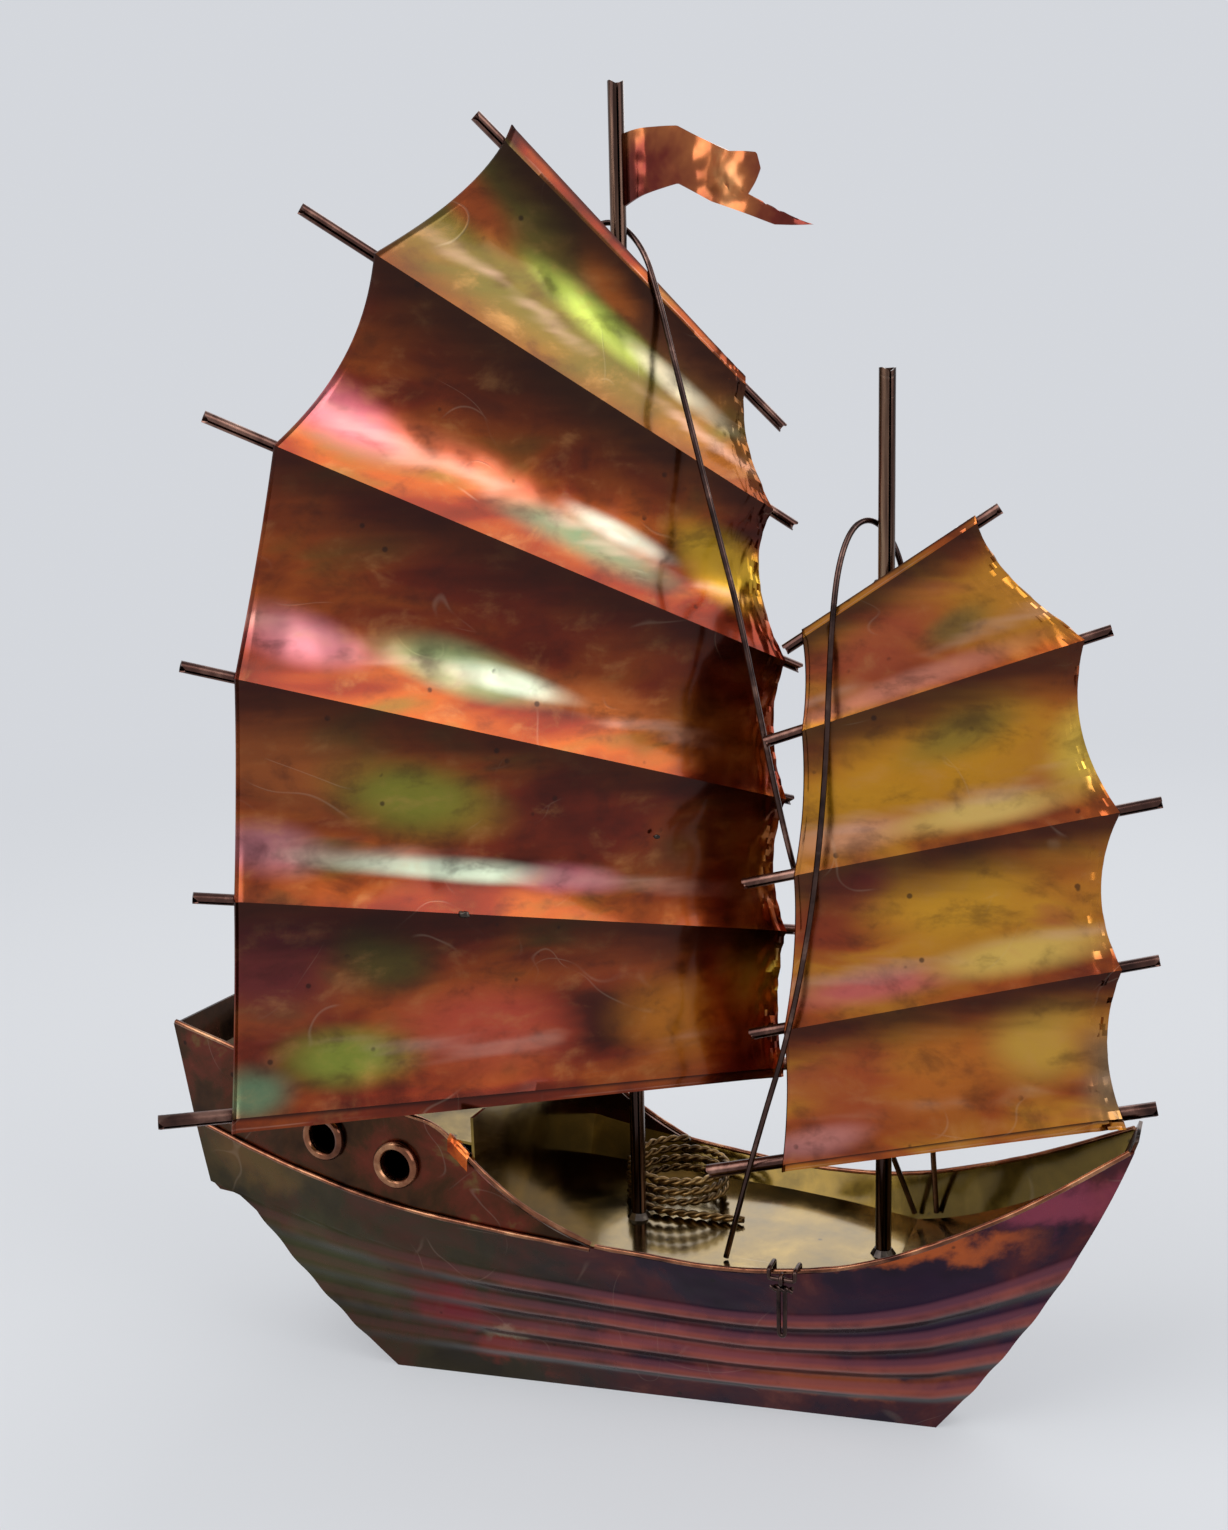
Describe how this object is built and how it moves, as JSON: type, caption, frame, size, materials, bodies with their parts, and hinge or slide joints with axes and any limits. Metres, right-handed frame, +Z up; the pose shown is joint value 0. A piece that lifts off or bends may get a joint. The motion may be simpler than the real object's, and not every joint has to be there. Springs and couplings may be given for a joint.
{
  "type": "model sailing ship",
  "caption": "Two-masted junk ornament of creased metal sails, rolled tube masts and spars, wire stays, a ribbed hull with a raised stern and a hanging wire anchor.",
  "frame": {"origin": "on the lower face of the bottom plate, straight under the main mast", "axes": "+X towards the bow, +Y to port, +Z up along the masts"},
  "size_m": [0.2071, 0.1034, 0.272],
  "materials": {
    "hull": "heat-coloured copper sheet, dark violet and brown, worn bright on ribs",
    "deck": "polished golden copper sheet",
    "sail": "heat-coloured copper sheet in bands of orange, crimson, olive and green",
    "tube": "dark bronzed rolled tube",
    "wire": "dark bronzed wire",
    "rope": "dull twisted brass wire"
  },
  "bodies": {
    "ship": {"anchor_hanger": "wire", "bottom_plate": "hull", "bow_plate": "hull", "fore_batten_1": "tube", "fore_batten_2": "tube", "fore_batten_3": "tube", "fore_boom": "tube", "fore_mast": "tube", "fore_mast_collar": "tube", "fore_sail": "sail", "fore_stay": "wire", "fore_yard": "tube", "hull_rim_port": "hull", "hull_rim_starboard": "hull", "hull_side_port": "hull", "hull_side_starboard": "hull", "main_batten_1": "tube", "main_batten_2": "tube", "main_batten_3": "tube", "main_batten_4": "tube", "main_boom": "tube", "main_deck": "deck", "main_mast": "tube", "main_mast_collar": "tube", "main_sail": "sail", "main_stay": "wire", "main_yard": "tube", "pennant": "sail", "poop_bulkhead": "deck", "poop_deck": "deck", "porthole_rings_port": "hull", "porthole_rings_starboard": "hull", "quarter_panel_port": "hull", "quarter_panel_starboard": "hull", "quarter_rim_port": "hull", "quarter_rim_starboard": "hull", "rope_coil": "rope", "stern_plate": "hull", "wale_port": "hull", "wale_starboard": "hull"},
    "anchor": {"anchor": "wire"}
  },
  "joints": [
    {"name": "anchor_swing", "type": "hinge", "parent": "ship", "child": "anchor", "pos_m": [0.0405, -0.02788, 0.03964], "axis": [1, 0, 0], "range_deg": [-75, 18]}
  ]
}
